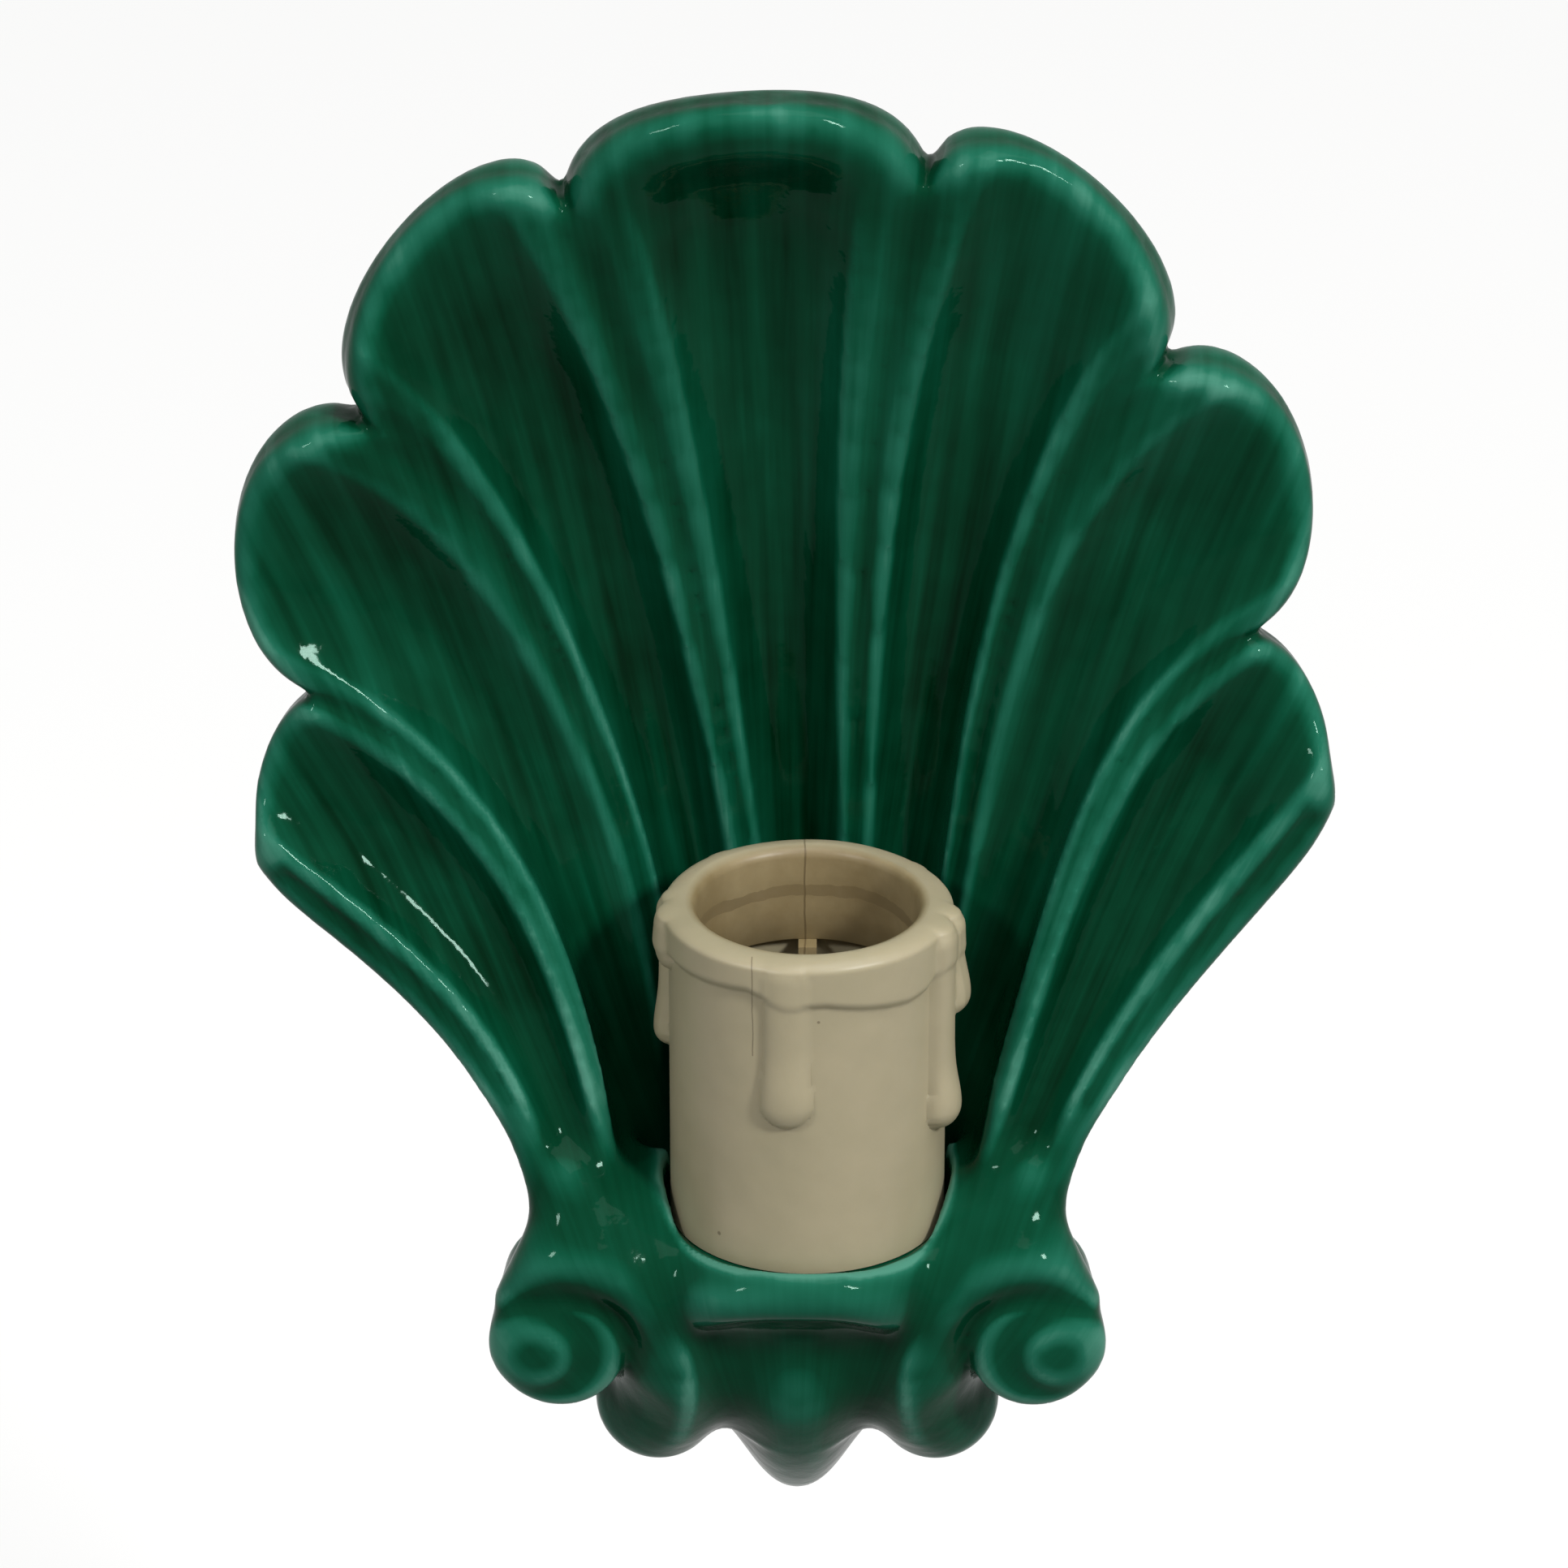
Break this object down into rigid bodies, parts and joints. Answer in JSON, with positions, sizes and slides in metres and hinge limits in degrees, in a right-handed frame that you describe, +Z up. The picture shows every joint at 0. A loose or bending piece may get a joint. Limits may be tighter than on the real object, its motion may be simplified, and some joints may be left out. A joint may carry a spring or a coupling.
{
  "type": "shell wall sconce",
  "caption": "Glazed ceramic shell wall sconce with scrolled foot and a lift-off cream candle sleeve over a small screw lampholder; hangs on a wall hook.",
  "frame": {"origin": "mouth of the hanging hole in the back of the shell, on the wall plane", "axes": "+Z up, -Y out of the wall towards the viewer, +X to the viewer's right; +Y is the way a wall hook leaves the hanging hole"},
  "size_m": [0.1534, 0.0645, 0.22],
  "materials": {
    "green_glaze": "glossy deep green glaze, thinner and paler on the crests",
    "cream_sleeve": "satin cream moulding, aged",
    "brown_moulding": "dark brown thermoset",
    "holder_ceramic": "unglazed white porcelain",
    "brass_plated": "plain pressed and turned brass",
    "zinc_steel": "zinc plated",
    "fibre": "red-brown vulcanised fibre",
    "white_moulding": "off-white nylon",
    "lead_brown": "brown insulated wire",
    "lead_blue": "blue insulated wire"
  },
  "bodies": {
    "base": {"shell_casting": "green_glaze", "holder_cap": "brown_moulding", "holder_skirt": "brown_moulding", "holder_insert": "holder_ceramic", "screw_shell": "brass_plated", "holder_terminals": "brass_plated", "holder_terminal_screws": "brass_plated", "seat_washer": "fibre", "threaded_nipple": "zinc_steel", "fibre_washer": "fibre", "block_strap": "zinc_steel", "steel_washer": "zinc_steel", "lock_nut": "zinc_steel", "terminal_block": "white_moulding", "block_barrels": "brass_plated", "block_screws": "zinc_steel", "block_bolt": "zinc_steel", "block_nut": "zinc_steel", "lead_live": "lead_brown", "lead_neutral": "lead_blue"},
    "sleeve": {"candle_sleeve": "cream_sleeve"},
    "contact": {"centre_contact": "brass_plated"}
  },
  "joints": [
    {"name": "sleeve_lift", "type": "slide", "parent": "base", "child": "sleeve", "axis": [0, 0, 1], "range_m": [0, 0.06]},
    {"name": "contact_press", "type": "slide", "parent": "base", "child": "contact", "axis": [0, 0, -1], "range_m": [0, 0.0013], "stiffness_N_per_m": 1500, "springref_m": -0.0005}
  ]
}
